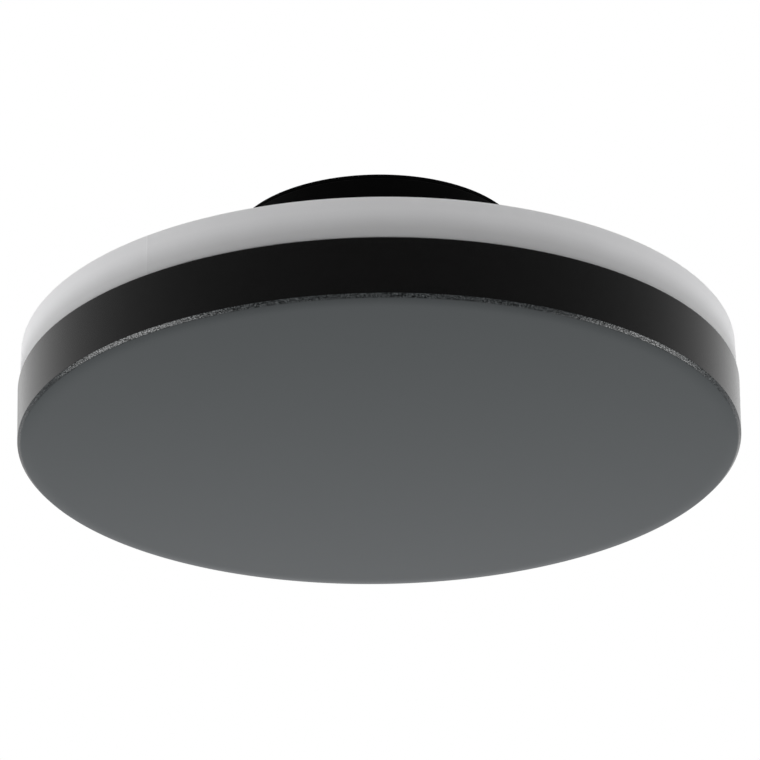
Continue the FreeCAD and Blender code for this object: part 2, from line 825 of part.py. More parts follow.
def make_led_lead(label, sign):
    """From the driver through the canopy's floor, then along the carrier plate to the board's connector."""
    x = number_of(f"lead_grommet_x {sign} led_lead_spread")
    radius = number_of("led_lead_radius")
    bend = number_of("led_lead_bend")
    start_y, drop_y, end_y = (number_of(y) for y in ("driver_inside_y", "lead_grommet_y", "connector_near_y"))
    high, low = (number_of(z) for z in ("led_exit_z", "led_run_z"))
    slack = bend * (1 - 0.5 ** 0.5)

    def at(y, z):
        return FreeCAD.Vector(x, y, z)

    leave, dive = at(drop_y + bend, high), at(drop_y, high - bend)
    land, run = at(drop_y, low + bend), at(drop_y - bend, low)
    path = Part.Wire([
        Part.LineSegment(at(start_y, high), leave).toShape(),
        Part.Arc(leave, at(drop_y + slack, high - slack), dive).toShape(),
        Part.LineSegment(dive, land).toShape(),
        Part.Arc(land, at(drop_y - slack, low + slack), run).toShape(),
        Part.LineSegment(run, at(end_y, low)).toShape(),
    ])
    section = Part.Wire(Part.makeCircle(radius, at(start_y, high), FreeCAD.Vector(0, -1, 0)))
    tube = path.makePipeShell([section], True, False)
    expected = Part.Face(section).Area * path.Length
    if abs(tube.Volume - expected) > expected * TUBE_TOLERANCE:
        raise RuntimeError(f"{label} isn't a clean tube")
    lead = doc.addObject("Part::Feature", label)
    lead.Shape = tube
    lead.Placement = FreeCAD.Placement()
    return lead


# Lamp head

def make_diffuser():
    """Opal dish: a flat back with a hole for the spigot, a side wall and a stepped lip inside the cover."""
    body = new_body("diffuser")
    revolve(body, [
        ("diffuser_hole", "back_z - diffuser_wall"),
        ("diffuser_bore", "back_z - diffuser_wall"),
        ("diffuser_bore", "lip_root_z"),
        ("lip_bore", "lip_root_z"),
        ("lip_bore", "lip_z"),
        ("lip_radius", "lip_z"),
        ("lip_radius", "step_z"),
        ("diffuser_radius", "step_z"),
        ("diffuser_radius", "back_z - diffuser_round", "diffuser_round"),
        ("diffuser_radius - diffuser_round", "back_z"),
        ("diffuser_hole", "back_z"),
    ])
    return body


def make_front_cover():
    """Tray that widens to its rim, with a chamfered front edge, a seal ledge and bosses for the carrier."""
    body = new_body("front_cover")
    revolve(body, [
        ("0", "face_z"),
        ("cover_radius - front_chamfer", "face_z"),
        ("cover_radius", "face_z + front_chamfer"),
        ("cover_radius + cover_draft", "rim_z"),
        ("cover_bore", "rim_z"),
        ("cover_bore", "ledge_z"),
        ("ledge_bore", "ledge_z"),
        ("ledge_bore", "tray_z"),
        ("0", "tray_z"),
    ])
    posts = new_sketch(body, offset=("0", "0", "face_z + cover_front / 2"))
    circle(posts, "boss_circle", "0", "boss_radius")
    polar(body, [pad(body, posts, "carrier_under_z - face_z - cover_front / 2")], "boss_count")
    bores = new_sketch(body, offset=("0", "0", "carrier_under_z"))
    circle(bores, "boss_circle", "0", "large_hole")
    bore = pocket(body, bores, "cover_screw_grip - carrier_sheet + joint_gap")
    polar(body, [bore], "boss_count")
    return body


def make_cover_screws():
    body, features = screw("cover_screws", "boss_circle", "0", "carrier_z", "cover_screw_grip", "large")
    polar(body, features, "boss_count")
    return body


def make_carrier_plate():
    """Aluminium disc between the canopy's spigot and the cover's bosses."""
    body = new_body("carrier_plate")
    disc = new_sketch(body, offset=("0", "0", "carrier_under_z"))
    circle(disc, "0", "0", "carrier_radius")
    pad(body, disc, "carrier_sheet")
    for reach, count in (("post_circle", "post_count"), ("boss_circle", "boss_count")):
        holes = new_sketch(body, offset=("0", "0", "carrier_z"))
        circle(holes, reach, "0", "large_hole")
        polar(body, [pocket(body, holes, "carrier_sheet")], count)
    half = "(board_screw_circle / 2)"
    holes = new_sketch(body, offset=("0", "0", "carrier_z"))
    circle(holes, f"{half} * sqrt(3)", half, "small_hole")
    polar(body, [pocket(body, holes, "carrier_sheet")], "board_screw_count")
    return body


def make_led_board():
    body = ring("led_board", "board_bore", "board_radius", "carrier_z", "board_z")
    holes = new_sketch(body, offset=("0", "0", "board_z"))
    circle(holes, "board_screw_circle", "0", "small_hole")
    polar(body, [pocket(body, holes, "board_sheet")], "board_screw_count")
    turn(body, BOARD_TURN)
    return body


def make_board_screws():
    body, features = screw(
        "board_screws", "board_screw_circle", "0", "board_z", "board_sheet + carrier_sheet", "small"
    )
    polar(body, features, "board_screw_count")
    turn(body, BOARD_TURN)
    return body


def make_led_chips():
    body = new_body("led_chips")
    sketch = new_sketch(body, offset=("0", "0", "board_z"))
    rectangle(
        sketch, "chip_circle - chip_width / 2", "chip_circle + chip_width / 2",
        "-chip_length / 2", "chip_length / 2",
    )
    polar(body, [pad(body, sketch, "chip_height")], "chip_count")
    return body


def make_board_connector():
    return block(
        "board_connector", "lead_grommet_x - connector_length / 2", "lead_grommet_x + connector_length / 2",
        "connector_near_y - connector_width", "connector_near_y", "board_z", "connector_height",
    )


NODES = [
    make_mounting_plate(),
    make_cable_grommet(),
    make_plate_earth_screw(),
    make_canopy(),
    ring("canopy_gasket", "canopy_bore", "canopy_radius", "canopy_top_z", "0"),
    make_canopy_screws(),
    make_set_screws(),
    make_earth_tag(),
    screw("earth_screw", "earth_x", "tag_y", "tag_top_z", "earth_screw_grip", "large")[0],
    make_lead_grommet(),
    make_terminal_block(),
    make_terminal_contacts(),
    make_terminal_screws(),
    make_driver_case(),
    make_driver_lid(),
    make_driver_screws(),
    make_driver_board(),
    make_driver_transformer(),
    make_driver_capacitor(),
    make_straight_lead("mains_lead_live", "1", "driver_inside_y"),
    make_straight_lead("mains_lead_neutral", "0", "driver_inside_y"),
    make_straight_lead("earth_lead", "-1", "tag_barrel_far_y"),
    make_led_lead("led_lead_positive", "+"),
    make_led_lead("led_lead_negative", "-"),
    make_diffuser(),
    ring("diffuser_gasket", "diffuser_hole + diffuser_seal_inset", "canopy_radius - diffuser_seal_inset",
         "back_z", "shoulder_z"),
    make_front_cover(),
    ring("cover_gasket", "ledge_bore + cover_seal_inset", "lip_radius", "ledge_z", "lip_z"),
    make_cover_screws(),
    make_carrier_plate(),
    make_led_board(),
    make_board_screws(),
    make_led_chips(),
    make_board_connector(),
]
NODES += [make_terminal_button(pole, step) for pole, step in POLES]

# Every object is checked before anything is written
doc.recompute()
for item in doc.Objects:
    if "Invalid" in item.State or "Error" in item.State:
        raise RuntimeError(f"{item.Label} failed: {item.State}")
for node in NODES:
    if node.Shape.isNull() or not node.Shape.isValid() or not node.Shape.Solids:
        raise RuntimeError(f"{node.Label} has no sound shape")

os.makedirs("parts", exist_ok=True)
for node in NODES:
    node.Shape.exportStep(f"parts/{node.Label}.step")
    print(f"{node.Label}: {len(node.Shape.Solids)} solids, {node.Shape.Volume / 1000:.2f} cm3")
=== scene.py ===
import json
import math

import bmesh
import bpy
from mathutils import Matrix, Vector


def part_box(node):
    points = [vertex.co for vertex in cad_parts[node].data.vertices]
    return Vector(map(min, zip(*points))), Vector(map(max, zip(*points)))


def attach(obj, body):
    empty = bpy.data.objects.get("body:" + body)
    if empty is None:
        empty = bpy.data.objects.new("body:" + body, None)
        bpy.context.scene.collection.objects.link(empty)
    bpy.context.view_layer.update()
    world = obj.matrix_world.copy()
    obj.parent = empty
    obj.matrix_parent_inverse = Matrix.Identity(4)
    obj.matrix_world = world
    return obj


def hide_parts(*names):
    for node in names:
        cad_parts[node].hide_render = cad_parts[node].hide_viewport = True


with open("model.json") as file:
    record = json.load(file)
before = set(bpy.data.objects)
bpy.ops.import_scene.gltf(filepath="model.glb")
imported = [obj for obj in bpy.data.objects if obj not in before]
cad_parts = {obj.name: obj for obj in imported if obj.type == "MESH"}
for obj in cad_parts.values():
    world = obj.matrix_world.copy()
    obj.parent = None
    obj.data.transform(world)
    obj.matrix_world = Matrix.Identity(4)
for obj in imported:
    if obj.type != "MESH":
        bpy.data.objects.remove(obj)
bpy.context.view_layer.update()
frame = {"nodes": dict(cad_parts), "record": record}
NODES = frame["nodes"]
MM = 0.001

# Heights and radii of the lamp, in millimetres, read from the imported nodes
COVER_LOW, COVER_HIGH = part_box("front_cover")
DIFFUSER_LOW, DIFFUSER_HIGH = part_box("diffuser")
FACE_Z = COVER_LOW.z / MM
RIM_Z = COVER_HIGH.z / MM
RIM_RADIUS = COVER_HIGH.x / MM
BACK_Z = DIFFUSER_HIGH.z / MM
LIP_Z = DIFFUSER_LOW.z / MM
DIFFUSER_RADIUS = DIFFUSER_HIGH.x / MM
CARRIER_UNDER_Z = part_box("carrier_plate")[0].z / MM
LEDGE_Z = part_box("cover_gasket")[0].z / MM


# Shader nodes that the materials and the room share

def ramp(tree, source, stops, interpolation="LINEAR"):
    """Colours between the stops (position, colour); a lone number is a grey."""
    node = tree.nodes.new("ShaderNodeValToRGB")
    node.color_ramp.interpolation = interpolation
    points = node.color_ramp.elements
    while len(points) < len(stops):
        points.new(0.5)
    for point, (position, colour) in zip(points, stops):
        point.position = position
        grey = isinstance(colour, (int, float))
        point.color = (colour, colour, colour, 1) if grey else (*colour, 1)
    tree.links.new(source, node.inputs["Fac"])
    return node.outputs["Color"]


def share(tree, source, low, high, interpolation="LINEAR"):
    """From 0 to 1 while the source goes from low to high."""
    node = tree.nodes.new("ShaderNodeMapRange")
    node.interpolation_type = interpolation
    node.inputs["From Min"].default_value = low
    node.inputs["From Max"].default_value = high
    tree.links.new(source, node.inputs["Value"])
    return node.outputs["Result"]


def mixed(tree, factor, first, second):
    """The first colour where the factor is 0, and the second where it is 1."""
    node = tree.nodes.new("ShaderNodeMix")
    node.data_type = "RGBA"
    tree.links.new(factor, node.inputs["Factor"])
    for name, value in (("A", first), ("B", second)):
        if isinstance(value, tuple):
            node.inputs[name].default_value = value
        else:
            tree.links.new(value, node.inputs[name])
    return node.outputs["Result"]


def ray_kinds(tree):
    """Two sockets: 1 for camera and transmission rays, and 1 for glossy rays."""
    path = tree.nodes.new("ShaderNodeLightPath")
    direct = tree.nodes.new("ShaderNodeMath")
    direct.operation = "MAXIMUM"
    tree.links.new(path.outputs["Is Camera Ray"], direct.inputs[0])
    tree.links.new(path.outputs["Is Transmission Ray"], direct.inputs[1])
    return direct.outputs["Value"], path.outputs["Is Glossy Ray"]


# Materials: each is one Principled shader, fed by textures in the piece's own coordinates

class Surface:
    def __init__(self, name, **fixed):
        self.material = bpy.data.materials.new(name)
        self.material.use_nodes = True
        self.tree = self.material.node_tree
        self.shader = self.tree.nodes["Principled BSDF"]
        for socket, value in fixed.items():
            self.shader.inputs[socket.replace("_", " ")].default_value = value
        self.place = self.add("ShaderNodeTexCoord").outputs["Object"]
        self.relief = None

    def add(self, kind, **settings):
        node = self.tree.nodes.new(kind)
        for field, value in settings.items():
            setattr(node, field, value)
        return node

    def join(self, source, target):
        self.tree.links.new(source, target)

    def noise(self, size_mm, detail=2.0, roughness=0.5, stretch=(1, 1, 1)):
        """Grey noise whose lumps are about size_mm across."""
        mapping = self.add("ShaderNodeMapping")
        mapping.inputs["Scale"].default_value = stretch
        self.join(self.place, mapping.inputs["Vector"])
        node = self.add("ShaderNodeTexNoise")
        node.inputs["Scale"].default_value = 1 / (size_mm * MM)
        node.inputs["Detail"].default_value = detail
        node.inputs["Roughness"].default_value = roughness
        self.join(mapping.outputs["Vector"], node.inputs["Vector"])
        return node.outputs["Fac"]

    def cells(self, size_mm, output="Distance"):
        node = self.add("ShaderNodeTexVoronoi")
        node.inputs["Scale"].default_value = 1 / (size_mm * MM)
        self.join(self.place, node.inputs["Vector"])
        return node.outputs[output]

    def along(self, axis):
        """The piece's own X, Y or Z, in metres."""
        node = self.add("ShaderNodeSeparateXYZ")
        self.join(self.place, node.inputs["Vector"])
        return node.outputs[axis]

    def length(self, first, second):
        """The root of the sum of the two squares."""
        squares = [self.reckon("MULTIPLY", side, side) for side in (first, second)]
        return self.reckon("SQRT", self.reckon("ADD", *squares))

    def reckon(self, operation, *values):
        node = self.add("ShaderNodeMath", operation=operation)
        for socket, value in zip(node.inputs, values):
            if isinstance(value, (int, float)):
                socket.default_value = value
            else:
                self.join(value, socket)
        return node.outputs["Value"]

    def ramp(self, source, stops, interpolation="LINEAR"):
        return ramp(self.tree, source, stops, interpolation)

    def share(self, axis, low, high):
        """From 0 to 1 between two places on the piece's own X, Y or Z, in metres."""
        return share(self.tree, self.along(axis), low, high)

    def colour(self, source):
        self.join(source, self.shader.inputs["Base Color"])

    def mottle(self, dark, light, size_mm, detail=4.0, span=(0.35, 0.65)):
        """Base colour that drifts from dark to light over patches of that size."""
        self.colour(self.ramp(self.noise(size_mm, detail), list(zip(span, (dark, light)))))

    def rough(self, source, middle, spread=0.05):
        """Roughness around the middle; plain grey noise lies mostly between a third and two thirds."""
        stops = [(0.3, middle - spread), (0.7, middle + spread)]
        self.join(self.ramp(source, stops), self.shader.inputs["Roughness"])

    def bump(self, source, height_mm):
        """One more layer of relief, of that height."""
        node = self.add("ShaderNodeBump")
        node.inputs["Strength"].default_value = 1.0
        node.inputs["Distance"].default_value = height_mm * MM
        self.join(source, node.inputs["Height"])
        if self.relief:
            self.join(self.relief, node.inputs["Normal"])
        self.relief = node.outputs["Normal"]
        self.join(self.relief, self.shader.inputs["Normal"])


def tones(colour, spread):
    """A darker and a lighter tone of the colour."""
    return [tuple(channel * factor for channel in colour) for factor in (1 - spread, 1 + spread)]


def powder_coat(name, dark, light, roughness, grain_mm, grain_height, specular=0.5):
    """Baked powder coat: nearly black, with a fine grain and a faint orange peel."""
    skin = Surface(name, Specular_IOR_Level=specular)
    skin.mottle(dark, light, size_mm=6)
    skin.rough(skin.noise(1.4, detail=3), roughness, 0.02)
    skin.bump(skin.noise(4), 0.004)
    skin.bump(skin.noise(grain_mm, detail=3, roughness=0.6), grain_height)
    return skin.material


def cut_edge():
    """Edge turned after coating: dark metal with fine bright flecks."""
    skin = Surface("turned_edge", Metallic=1.0)
    skin.colour(skin.ramp(skin.noise(0.4, detail=3, roughness=0.7), [(0.45, 0.008), (0.62, 0.12)]))
    skin.rough(skin.noise(0.9), 0.23, 0.07)
    skin.bump(skin.noise(0.8, detail=3), 0.05)
    return skin.material


def moulded(name, colour, roughness=0.42, grain_mm=0.25):
    """Injection-moulded plastic with a fine spark-eroded texture."""
    skin = Surface(name)
    skin.mottle(*tones(colour, 0.025), size_mm=12, detail=2)
    skin.rough(skin.noise(1.1), roughness)
    skin.bump(skin.noise(grain_mm), 0.006)
    return skin.material


def lead_sleeve(name, colour):
    return moulded(name, colour, roughness=0.36, grain_mm=0.6)


def metal(name, colour, roughness, stretch=(1, 1, 1), lines_mm=0.4):
    """Bare or plated metal with fine marks, which are drawn out where a stretch is given."""
    skin = Surface(name, Metallic=1.0)
    skin.mottle(*tones(colour, 0.09), size_mm=2.5, span=(0.3, 0.7))
    marks = skin.noise(lines_mm, detail=3, stretch=stretch)
    skin.rough(marks, roughness, 0.08)
    skin.bump(marks, 0.003)
    return skin.material


def rubber(name, colour, roughness=0.78, pore_mm=0.5, depth=0.03, specular=0.3):
    skin = Surface(name, Specular_IOR_Level=specular)
    skin.mottle(*tones(colour, 0.25), size_mm=3)
    skin.rough(skin.noise(1), roughness, 0.06)
    skin.bump(skin.cells(pore_mm), depth)
    return skin.material


def galvanised():
    """Zinc-dipped sheet: crystals of slightly different grey and gloss."""
    skin = Surface("galvanised_sheet", Metallic=1.0)
    crystals = skin.add("ShaderNodeRGBToBW")
    skin.join(skin.cells(4.5, output="Color"), crystals.inputs["Color"])
    grey = crystals.outputs["Val"]
    skin.colour(skin.ramp(grey, [(0.1, (0.5, 0.51, 0.53)), (0.9, (0.68, 0.69, 0.7))]))
    skin.rough(grey, 0.41)
    skin.bump(skin.noise(0.7, detail=4), 0.006)
    return skin.material


# The parting line of the diffuser's mould, with a painted highlight along it: its place and half its width in
# radians, how deep the painted highlight goes in millimetres, and how much lighter the painted highlight makes
# the base colour
SEAM_ANGLE = math.radians(233.8)
SEAM_HALF = 0.0018
SEAM_DEPTH = 0.5
SEAM_HIGHLIGHT_GAIN = 0.07


def opal():
    """Opal plastic; light goes in and comes out again about a millimetre away. Its base colour has painted
    shade, darker towards the cover, and a painted highlight along the parting line.
    """
    skin = Surface(
        "opal_plastic", Subsurface_Weight=0.35, Subsurface_Radius=(1.0, 1.0, 1.0), Subsurface_Scale=0.0012,
        IOR=1.49, Specular_IOR_Level=0.35,
    )
    # Painted shade: the base colour grows darker from the back towards the cover, by height; the cloud adds a
    # random tone.
    height = skin.share("Z", RIM_Z * MM, BACK_Z * MM)
    cloud = skin.reckon("MULTIPLY", skin.noise(14, detail=3), 0.08)
    plain = skin.ramp(skin.reckon("ADD", height, cloud), [
        (0.1, (0.59, 0.59, 0.596)), (0.3, (0.635, 0.635, 0.642)), (0.6, (0.815, 0.815, 0.825)),
        (0.75, (0.868, 0.868, 0.878)),
    ])
    # Painted highlight: a thin band along the parting line, on the outer wall, gets a lighter base colour.
    x, y = skin.along("X"), skin.along("Y")
    angle = skin.reckon("ARCTAN2", y, x)
    from_seam = skin.reckon("ABSOLUTE", skin.reckon("SUBTRACT", angle, SEAM_ANGLE - math.tau))
    near_seam = skin.reckon("LESS_THAN", from_seam, SEAM_HALF)
    on_wall = skin.reckon("GREATER_THAN", skin.length(x, y), (DIFFUSER_RADIUS - SEAM_DEPTH) * MM)
    gain = skin.reckon("MULTIPLY", skin.reckon("MULTIPLY", near_seam, on_wall), SEAM_HIGHLIGHT_GAIN)
    lighter = skin.add("ShaderNodeVectorMath", operation="SCALE")
    skin.join(plain, lighter.inputs["Vector"])
    skin.join(skin.reckon("ADD", gain, 1.0), lighter.inputs["Scale"])
    skin.colour(lighter.outputs["Vector"])
    skin.rough(skin.noise(1.6, detail=3), 0.45)
    skin.bump(skin.noise(0.35), 0.003)
    return skin.material


EARTH_GREEN = (0.04, 0.28, 0.05)
EARTH_YELLOW = (0.72, 0.6, 0.03)


def striped_sleeve(axis_x, axis_z):
    """Green and yellow stripes along a lead that runs in Y, as on an earth lead."""
    skin = Surface("earth_sleeve")
    side = skin.reckon("SUBTRACT", skin.along("X"), axis_x)
    up = skin.reckon("SUBTRACT", skin.along("Z"), axis_z)
    turn = skin.reckon("DIVIDE", skin.reckon("ARCTAN2", up, side), math.tau)
    skin.colour(skin.ramp(
        skin.reckon("ADD", turn, 0.5),
        [(0.0, EARTH_GREEN), (0.28, EARTH_YELLOW), (0.52, EARTH_GREEN), (0.78, EARTH_YELLOW)], "CONSTANT",
    ))
    skin.rough(skin.noise(1), 0.39)
    skin.bump(skin.noise(0.6), 0.005)
    return skin.material


def circuit(name, mask, trace, pitch_mm):
    """Solder mask with copper tracks that show through it."""
    skin = Surface(name)
    bricks = skin.add("ShaderNodeTexBrick")
    bricks.inputs["Scale"].default_value = 1 / (pitch_mm * MM)
    bricks.inputs["Mortar Size"].default_value = 0.06
    bricks.inputs["Color1"].default_value = (*mask, 1)
    bricks.inputs["Color2"].default_value = (*tones(mask, 0.08)[1], 1)
    bricks.inputs["Mortar"].default_value = (*trace, 1)
    skin.join(skin.place, bricks.inputs["Vector"])
    skin.colour(bricks.outputs["Color"])
    skin.rough(skin.noise(1.5), 0.4)
    skin.bump(bricks.outputs["Fac"], 0.02)
    return skin.material


# The ring of LED packages: its radius, the turn from one to the next, and the length of their colour ramp
CHIP_CIRCLE = 101 * MM
CHIP_STEP = math.tau / 48
CHIP_RAMP = 2 * MM


def phosphor():
    """LED packages: a white case with a round yellow window in the middle of each."""
    skin = Surface("led_package", Specular_IOR_Level=0.6)
    x, y = skin.along("X"), skin.along("Y")
    outward = skin.reckon("SUBTRACT", skin.length(x, y), CHIP_CIRCLE)
    steps = skin.reckon("DIVIDE", skin.reckon("ARCTAN2", y, x), CHIP_STEP)
    past_chip = skin.reckon("SUBTRACT", steps, skin.reckon("ROUND", steps))
    sideways = skin.reckon("MULTIPLY", past_chip, CHIP_CIRCLE * CHIP_STEP)
    from_middle = skin.reckon("MULTIPLY", skin.length(outward, sideways), 1 / CHIP_RAMP)
    skin.colour(skin.ramp(
        from_middle, [(0.0, (0.9, 0.7, 0.16)), (0.5, (0.88, 0.66, 0.14)), (0.56, (0.85, 0.85, 0.84))],
    ))
    skin.rough(skin.noise(0.5), 0.35)
    skin.bump(skin.noise(0.3), 0.004)
    return skin.material


def banded(name, colour, band, low_z, high_z, roughness):
    """One colour, with a band of another around the middle of the height."""
    skin = Surface(name)
    height = skin.share("Z", low_z, high_z)
    skin.colour(skin.ramp(height, [(0.0, colour), (0.3, band), (0.72, colour)], "CONSTANT"))
    skin.rough(skin.noise(0.8), roughness)
    skin.bump(skin.noise(0.4, detail=3), 0.01)
    return skin.material


COAT = powder_coat("black_powder_coat", 0.0018, 0.0026, roughness=0.22, grain_mm=0.3, grain_height=0.0015)
EDGE = cut_edge()
OPAL = opal()
RUBBER = rubber("grommet_rubber", (0.018, 0.018, 0.018))
ZINC = metal("zinc_plate", (0.62, 0.62, 0.6), 0.34)
BRASS = metal("brass", (0.72, 0.5, 0.2), 0.32)
CASE = moulded("driver_plastic", (0.8, 0.8, 0.78))
BUTTON = moulded("button_plastic", (0.78, 0.2, 0.03), roughness=0.36)
SILICONE = rubber("grey_silicone", (0.3, 0.3, 0.3), roughness=0.55, pore_mm=0.9, depth=0.01)
earth_low, earth_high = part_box("earth_lead")
earth_middle = (earth_low + earth_high) / 2
core_low, core_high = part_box("driver_transformer")
can_low, can_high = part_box("driver_capacitor")

DRESS = {
    "canopy": powder_coat(
        "canopy_matt_coat", 0.0005, 0.0009, roughness=0.5, grain_mm=0.35, grain_height=0.01, specular=0.045,
    ),
    "canopy_gasket": rubber(
        "foam_gasket", (0.0013, 0.0013, 0.0013), roughness=0.9, pore_mm=0.6, depth=0.08, specular=0.05,
    ),
    "mounting_plate": galvanised(),
    "cable_grommet": RUBBER,
    "lead_grommet": RUBBER,
    "plate_earth_screw": BRASS,
    "earth_screw": BRASS,
    "canopy_screws": ZINC,
    "cover_screws": ZINC,
    "board_screws": ZINC,
    "driver_screws": ZINC,
    "terminal_screws": ZINC,
    "set_screws": metal("black_oxide", (0.03, 0.03, 0.032), 0.42),
    "earth_tag": metal("tinned_copper", (0.66, 0.64, 0.6), 0.3),
    "terminal_contacts": metal("copper", (0.72, 0.36, 0.2), 0.3, stretch=(8, 1, 8)),
    "diffuser_gasket": SILICONE,
    "cover_gasket": SILICONE,
    "carrier_plate": metal("sheet_aluminium", (0.74, 0.75, 0.76), 0.36, stretch=(1, 14, 1), lines_mm=1.5),
    "led_board": circuit("white_board", (0.82, 0.82, 0.81), (0.74, 0.72, 0.66), pitch_mm=9),
    "led_chips": phosphor(),
    "board_connector": moulded("nylon", (0.78, 0.77, 0.73), roughness=0.36),
    "driver_case": CASE,
    "driver_lid": CASE,
    "driver_board": circuit("green_board", (0.015, 0.16, 0.05), (0.05, 0.3, 0.1), pitch_mm=5),
    "driver_transformer": banded(
        "ferrite_and_tape", (0.03, 0.03, 0.032), (0.75, 0.55, 0.05), core_low.z, core_high.z, roughness=0.5,
    ),
    "driver_capacitor": banded(
        "capacitor_sleeve", (0.02, 0.025, 0.09), (0.5, 0.5, 0.52), can_low.z, can_high.z, roughness=0.3,
    ),
    "terminal_block": moulded("grey_polyamide", (0.42, 0.43, 0.44)),
    "terminal_button_live": BUTTON,
    "terminal_button_neutral": BUTTON,
    "terminal_button_earth": BUTTON,
    "mains_lead_live": lead_sleeve("brown_sleeve", (0.16, 0.06, 0.025)),
    "mains_lead_neutral": lead_sleeve("blue_sleeve", (0.02, 0.1, 0.42)),
    "earth_lead": striped_sleeve(earth_middle.x, earth_middle.z),
    "led_lead_positive": lead_sleeve("red_sleeve", (0.5, 0.015, 0.015)),
    "led_lead_negative": lead_sleeve("black_sleeve", (0.015, 0.015, 0.015)),
}
for node, skin in DRESS.items():
    for slot in NODES[node].material_slots:
        slot.material = skin


# Turned pieces, in millimetres: finer than the solids, and with their edges broken

ARC_STEPS = 5
RING_STEPS = 360
SUPPORT = 0.25
ON_AXIS = 1e-6
SHARP = math.radians(32)


def even(steps):
    return [math.tau * step / steps for step in range(steps)]


def softened(corners):
    """The outline through (radius, height, round): an arc at each corner, and a point to hold each flat."""
    points = []
    for index, (radius, height, edge) in enumerate(corners):
        here = Vector((radius, height))
        if not edge:
            points.append(here)
            continue
        before = Vector(corners[index - 1][:2]) - here
        after = Vector(corners[(index + 1) % len(corners)][:2]) - here
        half = before.angle(after) / 2
        before.normalize()
        after.normalize()
        reach = edge / math.tan(half)
        start, end = here + before * reach, here + after * reach
        middle = here + (before + after).normalized() * edge / math.sin(half)
        points.append(start + before * SUPPORT)
        for step in range(ARC_STEPS + 1):
            spoke = (start - middle).lerp(end - middle, step / ARC_STEPS).normalized()
            points.append(middle + spoke * edge)
        points.append(end + after * SUPPORT)
    return points


def turned(mesh, outline, angles, centre=(0, 0), skin_of=None, swell=None):
    """Add a solid of revolution to the mesh; an outline that starts on the axis ends there too."""
    rings = []
    for point in outline:
        if point.x < ON_AXIS:
            rings.append([mesh.verts.new((centre[0] * MM, centre[1] * MM, point.y * MM))])
            continue
        ring = []
        for angle in angles:
            radius = point.x + (swell(point, angle) if swell else 0)
            x, y = centre[0] + radius * math.cos(angle), centre[1] + radius * math.sin(angle)
            ring.append(mesh.verts.new((x * MM, y * MM, point.y * MM)))
        rings.append(ring)
    for index, ring in enumerate(rings):
        following = rings[(index + 1) % len(rings)]
        if len(ring) == len(following) == 1:
            continue
        number = skin_of(outline[index], outline[(index + 1) % len(outline)]) if skin_of else 0
        for step in range(len(angles)):
            later = (step + 1) % len(angles)
            if len(ring) == 1:
                corners = [ring[0], following[later], following[step]]
            elif len(following) == 1:
                corners = [ring[step], ring[later], following[0]]
            else:
                corners = [ring[step], ring[later], following[later], following[step]]
            face = mesh.faces.new(corners)
            face.smooth = True
            face.material_index = number


def finished(mesh, name, skins):
    """An object made of the mesh, with its sharp edges marked."""
    bmesh.ops.recalc_face_normals(mesh, faces=mesh.faces)
    for edge in mesh.edges:
        if edge.calc_face_angle(0) > SHARP:
            edge.smooth = False
    data = bpy.data.meshes.new(name)
    mesh.to_mesh(data)
    mesh.free()
    for skin in skins:
        data.materials.append(skin)
    piece = bpy.data.objects.new(name, data)
    bpy.context.scene.collection.objects.link(piece)
    return piece


# Front cover
COVER_DRAFT = 0.6
COVER_WALL = 2.6
COVER_FRONT = 3.0
FACE_RING = 60
CHAMFER_HEIGHT, CHAMFER_WIDTH, CHAMFER_ROUND = 1.4, 1.1, 0.9
SHOULDER_WIDTH, SHOULDER_STEPS, SHOULDER_POWER = 7.0, 12, 3
FOOT_ROUND, RIM_ROUND, TRAY_ROUND = 0.2, 0.25, 0.8
LEDGE_WIDTH = 3.8
EDGE_REACH = 0.75 * CHAMFER_WIDTH
cover_radius = RIM_RADIUS - COVER_DRAFT
cover_bore = cover_radius - COVER_WALL
ledge_bore = cover_bore - LEDGE_WIDTH
tray_z = FACE_Z + COVER_FRONT
foot_z = FACE_Z + CHAMFER_HEIGHT
chamfer_radius = cover_radius - CHAMFER_WIDTH
chamfer_z = foot_z - CHAMFER_WIDTH
shoulder = []
for step in range(SHOULDER_STEPS):
    part = step / SHOULDER_STEPS
    drop = (chamfer_z - FACE_Z) * part ** SHOULDER_POWER
    shoulder.append((chamfer_radius - SHOULDER_WIDTH * (1 - part), FACE_Z + drop, 0))
cover_outline = softened([
    (0, FACE_Z, 0),
    (FACE_RING, FACE_Z, 0),
    *shoulder,
    (chamfer_radius, chamfer_z, CHAMFER_ROUND),
    (cover_radius, foot_z, FOOT_ROUND),
    (RIM_RADIUS, RIM_Z, RIM_ROUND),
    (cover_bore, RIM_Z, RIM_ROUND),
    (cover_bore, LEDGE_Z, 0),
    (ledge_bore, LEDGE_Z, RIM_ROUND),
    (ledge_bore, tray_z, TRAY_ROUND),
    (0, tray_z, 0),
])
edge_middle = Vector((cover_radius + chamfer_radius, chamfer_z + foot_z)) / 2


def cover_skin(first, last):
    """The number of the skin between two points of the outline: 1 on the chamfer."""
    return int(((first + last) / 2 - edge_middle).length < EDGE_REACH)


